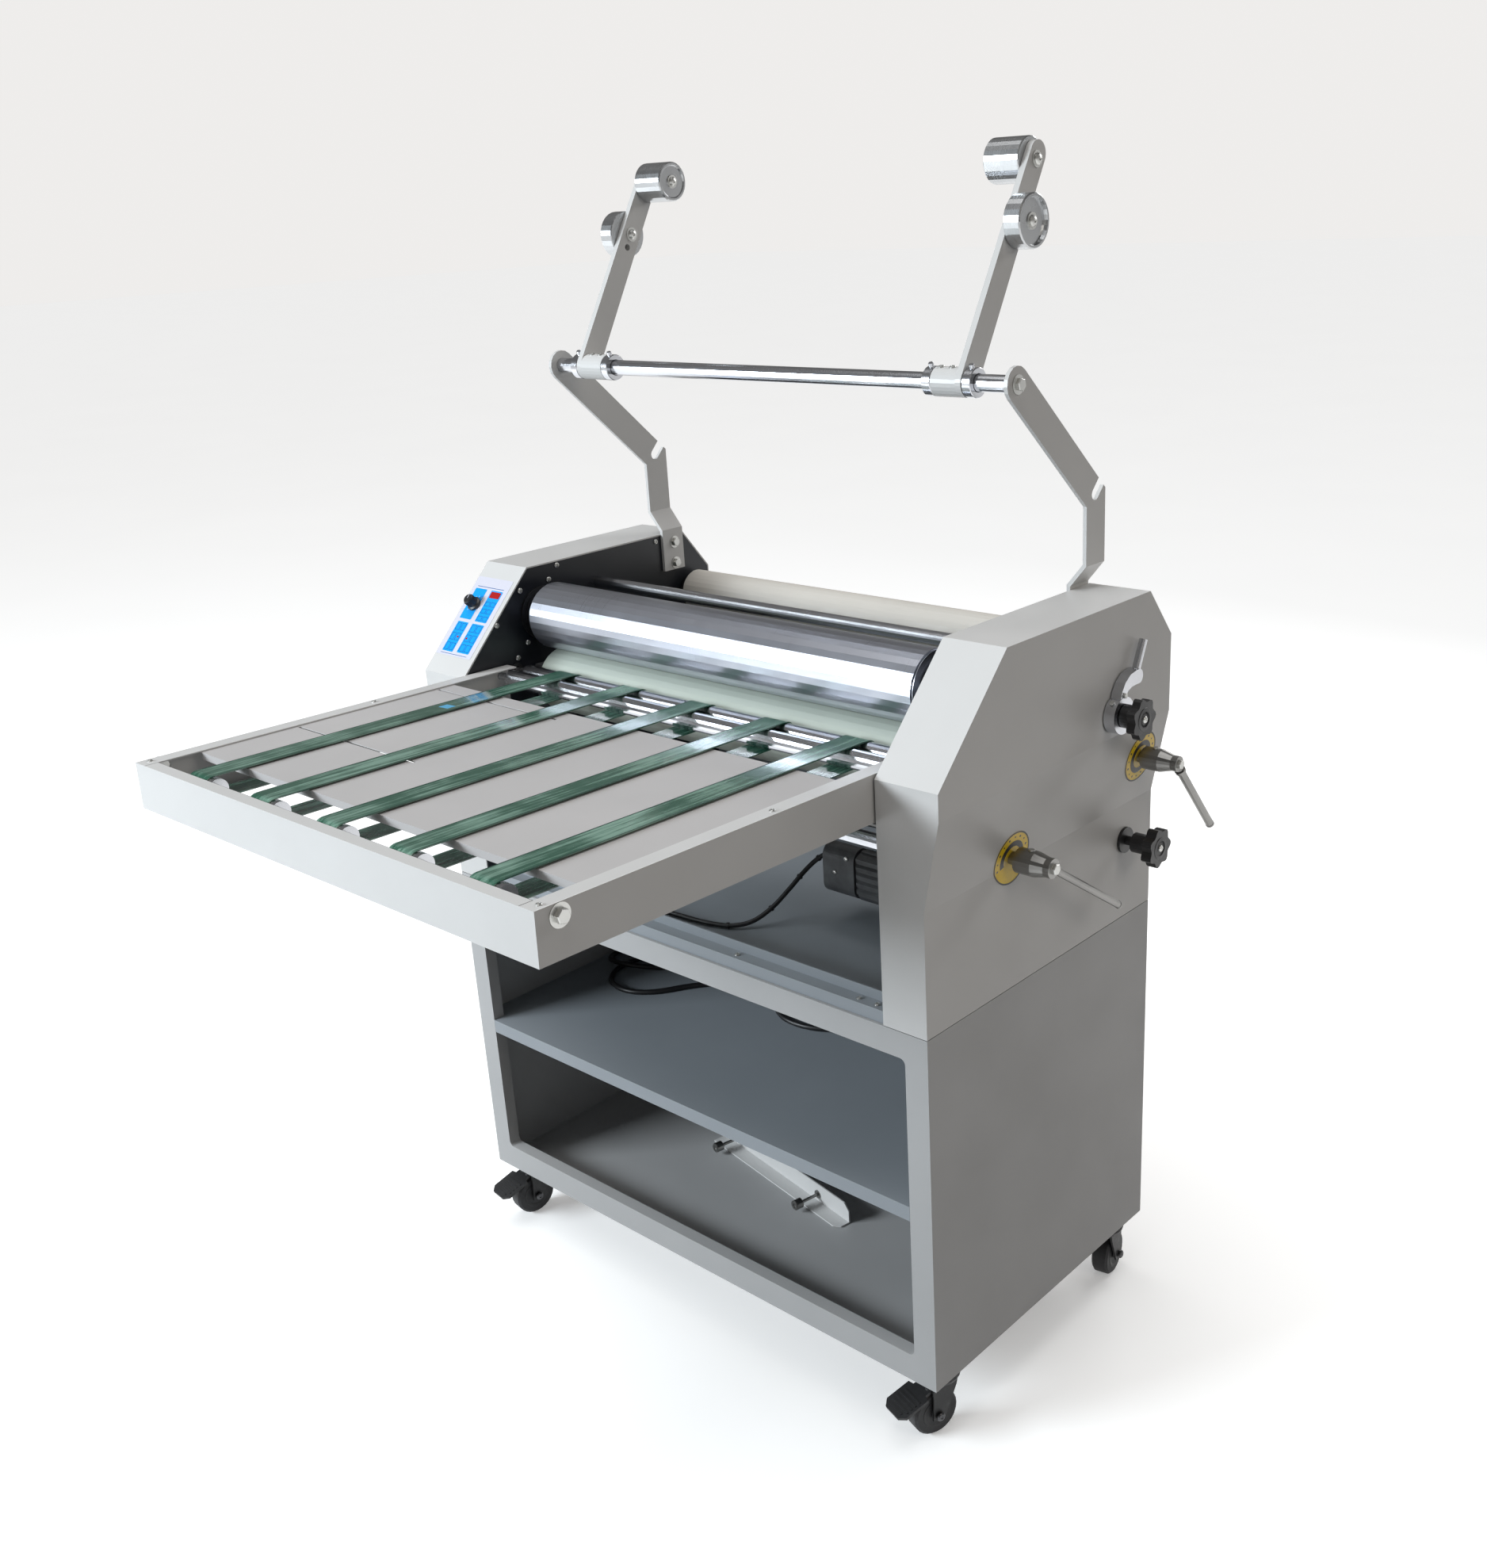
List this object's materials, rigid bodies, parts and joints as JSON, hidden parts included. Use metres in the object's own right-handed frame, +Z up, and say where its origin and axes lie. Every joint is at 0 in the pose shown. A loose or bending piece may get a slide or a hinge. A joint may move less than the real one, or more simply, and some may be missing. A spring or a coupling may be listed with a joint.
{
  "type": "roll laminator",
  "caption": "Floor-standing roll laminator: wide rollers with lever pressure, belt feed table, swing film arms and a storage cabinet on casters.",
  "frame": {"origin": "on the floor, under the middle of the whole machine seen from above", "axes": "+X to the right along the rollers as the operator stands at the feed table, +Y from the feed table towards the outfeed side, +Z up"},
  "size_m": [0.9464, 0.9942, 1.532],
  "materials": {
    "grey_paint": "light grey powder coat, fine texture",
    "white_paint": "off-white powder coat, fine orange peel",
    "black_plate": "dark blue-black powder coat, satin",
    "table_paint": "warm grey matt paint",
    "belt": "dark green smooth conveyor belt, slightly glossy",
    "chrome": "polished hard chrome",
    "hub_metal": "turned and polished aluminium",
    "cream_rubber": "smooth pale silicone rubber",
    "beige_rubber": "smooth warm grey silicone rubber",
    "cast_dark": "dark painted casting",
    "steel": "turned steel",
    "black_plastic": "moulded black plastic, satin",
    "caster_black": "moulded black nylon",
    "caster_tyre": "black caster tyre",
    "cord_rubber": "black PVC cable jacket"
  },
  "bodies": {
    "machine_frame": {"cabinet_body": "grey_paint", "storage_shelf": "grey_paint", "base_pan": "grey_paint", "rear_panel": "grey_paint", "left_side_plate": "black_plate", "right_side_plate": "black_plate", "left_casing": "white_paint", "right_casing": "white_paint", "guide_bar": "chrome", "tie_shaft": "chrome", "feed_table_frame": "white_paint", "feed_table_plate": "table_paint", "feed_belt_1": "belt", "feed_belt_2": "belt", "feed_belt_3": "belt", "feed_belt_4": "belt", "feed_belt_5": "belt", "gear_motor": "cast_dark", "drive_chain": "steel", "left_film_bracket": "white_paint", "right_film_bracket": "white_paint", "film_cross_bar": "chrome", "side_guide": "white_paint", "motor_cable": "cord_rubber", "cord_gland": "black_plastic", "mains_lead": "cord_rubber", "mains_plug": "black_plastic"},
    "main_roller": {"main_roller": "chrome", "main_sprocket": "steel"},
    "lower_roller_carrier": {"lower_roller_carrier": "cast_dark"},
    "lower_roller": {"lower_roller": "cream_rubber"},
    "upper_pull_roller": {"upper_pull_roller": "beige_rubber"},
    "pull_roller_carrier": {"pull_roller_carrier": "cast_dark"},
    "lower_pull_roller": {"lower_pull_roller": "beige_rubber"},
    "front_belt_shaft": {"front_belt_shaft": "chrome"},
    "second_feed_roller": {"second_feed_roller": "chrome"},
    "rear_belt_roller": {"rear_belt_roller": "chrome"},
    "motor_sprocket": {"motor_sprocket": "steel"},
    "front_pressure_lever": {"front_pressure_lever": "steel"},
    "rear_pressure_lever": {"rear_pressure_lever": "steel"},
    "decurl_lever": {"decurl_lever": "chrome"},
    "upper_star_knob": {"upper_star_knob": "black_plastic"},
    "lower_star_knob": {"lower_star_knob": "black_plastic"},
    "speed_knob": {"speed_knob": "black_plastic"},
    "left_film_arm": {"left_film_arm": "white_paint"},
    "left_upper_hub": {"left_upper_hub": "hub_metal"},
    "left_lower_hub": {"left_lower_hub": "hub_metal"},
    "right_film_arm": {"right_film_arm": "white_paint"},
    "right_upper_hub": {"right_upper_hub": "hub_metal"},
    "right_lower_hub": {"right_lower_hub": "hub_metal"},
    "front_left_caster": {"front_left_caster_fork": "caster_black"},
    "front_left_caster_wheel": {"front_left_caster_wheel": "caster_tyre"},
    "front_left_brake_pedal": {"front_left_brake_pedal": "caster_black"},
    "front_right_caster": {"front_right_caster_fork": "caster_black"},
    "front_right_caster_wheel": {"front_right_caster_wheel": "caster_tyre"},
    "front_right_brake_pedal": {"front_right_brake_pedal": "caster_black"},
    "rear_left_caster": {"rear_left_caster_fork": "caster_black"},
    "rear_left_caster_wheel": {"rear_left_caster_wheel": "caster_tyre"},
    "rear_right_caster": {"rear_right_caster_fork": "caster_black"},
    "rear_right_caster_wheel": {"rear_right_caster_wheel": "caster_tyre"}
  },
  "joints": [
    {"name": "main_roller_spin", "type": "hinge", "parent": "machine_frame", "child": "main_roller", "pos_m": [-0.0232, 0.1187, 0.944], "axis": [1, 0, 0], "continuous": true},
    {"name": "lower_roller_spin", "type": "hinge", "parent": "lower_roller_carrier", "child": "lower_roller", "pos_m": [-0.0232, 0.1187, 0.8526], "axis": [1, 0, 0], "continuous": true},
    {"name": "upper_pull_roller_spin", "type": "hinge", "parent": "machine_frame", "child": "upper_pull_roller", "pos_m": [-0.0232, 0.4117, 0.919], "axis": [1, 0, 0], "continuous": true},
    {"name": "lower_pull_roller_spin", "type": "hinge", "parent": "pull_roller_carrier", "child": "lower_pull_roller", "pos_m": [-0.0232, 0.4117, 0.8616], "axis": [1, 0, 0], "continuous": true},
    {"name": "front_belt_shaft_spin", "type": "hinge", "parent": "machine_frame", "child": "front_belt_shaft", "pos_m": [-0.0232, -0.47017, 0.88379], "axis": [1, 0, 0], "continuous": true},
    {"name": "second_feed_roller_spin", "type": "hinge", "parent": "machine_frame", "child": "second_feed_roller", "pos_m": [-0.0232, 0.03171, 0.87266], "axis": [1, 0, 0], "continuous": true},
    {"name": "rear_belt_roller_spin", "type": "hinge", "parent": "machine_frame", "child": "rear_belt_roller", "pos_m": [-0.0232, 0.0617, 0.872], "axis": [1, 0, 0], "continuous": true},
    {"name": "motor_sprocket_spin", "type": "hinge", "parent": "machine_frame", "child": "motor_sprocket", "pos_m": [-0.0232, 0.1817, 0.661], "axis": [1, 0, 0], "continuous": true},
    {"name": "front_pressure_swing", "type": "hinge", "parent": "machine_frame", "child": "front_pressure_lever", "pos_m": [-0.0232, 0.1337, 0.7505], "axis": [1, 0, 0], "range_deg": [0, 75]},
    {"name": "lower_roller_lift", "type": "slide", "parent": "machine_frame", "child": "lower_roller_carrier", "axis": [0, 0, 1], "range_m": [-0.0038, 0]},
    {"name": "rear_pressure_swing", "type": "hinge", "parent": "machine_frame", "child": "rear_pressure_lever", "pos_m": [-0.0232, 0.4007, 0.8], "axis": [1, 0, 0], "range_deg": [0, 75]},
    {"name": "lower_pull_roller_lift", "type": "slide", "parent": "machine_frame", "child": "pull_roller_carrier", "axis": [0, 0, 1], "range_m": [-0.0038, 0]},
    {"name": "decurl_swing", "type": "hinge", "parent": "machine_frame", "child": "decurl_lever", "pos_m": [0.4368, 0.3167, 0.88], "axis": [1, 0, 0], "range_deg": [-35, 35]},
    {"name": "upper_star_knob_turn", "type": "hinge", "parent": "decurl_lever", "child": "upper_star_knob", "pos_m": [0.4618, 0.3167, 0.88], "axis": [1, 0, 0], "range_deg": [0, 270]},
    {"name": "lower_star_knob_turn", "type": "hinge", "parent": "machine_frame", "child": "lower_star_knob", "pos_m": [0.4418, 0.3867, 0.689], "axis": [1, 0, 0], "range_deg": [0, 270]},
    {"name": "speed_knob_turn", "type": "hinge", "parent": "machine_frame", "child": "speed_knob", "pos_m": [-0.4472, 0.05, 0.96178], "axis": [0, -0.715, 0.6991], "range_deg": [0, 270]},
    {"name": "left_film_arm_swing", "type": "hinge", "parent": "machine_frame", "child": "left_film_arm", "pos_m": [-0.3462, 0.2137, 1.274], "axis": [1, 0, 0], "range_deg": [-35, 50]},
    {"name": "left_upper_hub_spin", "type": "hinge", "parent": "left_film_arm", "child": "left_upper_hub", "pos_m": [-0.3214, 0.34795, 1.50653], "axis": [1, 0, 0], "continuous": true},
    {"name": "left_lower_hub_spin", "type": "hinge", "parent": "left_film_arm", "child": "left_lower_hub", "pos_m": [-0.3657, 0.3102, 1.44114], "axis": [1, 0, 0], "continuous": true},
    {"name": "right_film_arm_swing", "type": "hinge", "parent": "machine_frame", "child": "right_film_arm", "pos_m": [0.2888, 0.2137, 1.274], "axis": [1, 0, 0], "range_deg": [-35, 50]},
    {"name": "right_upper_hub_spin", "type": "hinge", "parent": "right_film_arm", "child": "right_upper_hub", "pos_m": [0.264, 0.34795, 1.50653], "axis": [1, 0, 0], "continuous": true},
    {"name": "right_lower_hub_spin", "type": "hinge", "parent": "right_film_arm", "child": "right_lower_hub", "pos_m": [0.3083, 0.3102, 1.44114], "axis": [1, 0, 0], "continuous": true},
    {"name": "front_left_caster_swivel", "type": "hinge", "parent": "machine_frame", "child": "front_left_caster", "pos_m": [-0.4192, 0.0177, 0.085], "axis": [0, 0, 1], "continuous": true},
    {"name": "front_left_wheel_roll", "type": "hinge", "parent": "front_left_caster", "child": "front_left_caster_wheel", "pos_m": [-0.42101, 0.00483, 0.032], "axis": [0.9903, -0.1392, 0], "continuous": true},
    {"name": "front_left_brake_tilt", "type": "hinge", "parent": "front_left_caster", "child": "front_left_brake_pedal", "pos_m": [-0.42031, 0.00978, 0.073], "axis": [0.9903, -0.1392, 0], "range_deg": [-18, 0]},
    {"name": "front_right_caster_swivel", "type": "hinge", "parent": "machine_frame", "child": "front_right_caster", "pos_m": [0.3728, 0.0177, 0.085], "axis": [0, 0, 1], "continuous": true},
    {"name": "front_right_wheel_roll", "type": "hinge", "parent": "front_right_caster", "child": "front_right_caster_wheel", "pos_m": [0.36878, 0.00534, 0.032], "axis": [0.9511, -0.309, 0], "continuous": true},
    {"name": "front_right_brake_tilt", "type": "hinge", "parent": "front_right_caster", "child": "front_right_brake_pedal", "pos_m": [0.37033, 0.01009, 0.073], "axis": [0.9511, -0.309, 0], "range_deg": [-18, 0]},
    {"name": "rear_left_caster_swivel", "type": "hinge", "parent": "machine_frame", "child": "rear_left_caster", "pos_m": [-0.4192, 0.4057, 0.085], "axis": [0, 0, 1], "continuous": true},
    {"name": "rear_left_wheel_roll", "type": "hinge", "parent": "rear_left_caster", "child": "rear_left_caster_wheel", "pos_m": [-0.41694, 0.4185, 0.032], "axis": [-0.9848, 0.1736, 0], "continuous": true},
    {"name": "rear_right_caster_swivel", "type": "hinge", "parent": "machine_frame", "child": "rear_right_caster", "pos_m": [0.3728, 0.4057, 0.085], "axis": [0, 0, 1], "continuous": true},
    {"name": "rear_right_wheel_roll", "type": "hinge", "parent": "rear_right_caster", "child": "rear_right_caster_wheel", "pos_m": [0.37054, 0.4185, 0.032], "axis": [-0.9848, -0.1736, 0], "continuous": true}
  ],
  "couplings": [
    {"joint": "lower_roller_spin", "follows": "main_roller_spin", "ratio": -1.0222},
    {"joint": "upper_pull_roller_spin", "follows": "main_roller_spin", "ratio": 1.4839},
    {"joint": "lower_pull_roller_spin", "follows": "main_roller_spin", "ratio": -1.7692},
    {"joint": "front_belt_shaft_spin", "follows": "main_roller_spin", "ratio": -3.68},
    {"joint": "second_feed_roller_spin", "follows": "main_roller_spin", "ratio": -3.8655},
    {"joint": "rear_belt_roller_spin", "follows": "main_roller_spin", "ratio": -3.68},
    {"joint": "motor_sprocket_spin", "follows": "main_roller_spin", "ratio": 1.25},
    {"joint": "front_pressure_swing", "follows": "lower_roller_lift", "rad_per_m": -344},
    {"joint": "rear_pressure_swing", "follows": "lower_pull_roller_lift", "rad_per_m": -344}
  ]
}
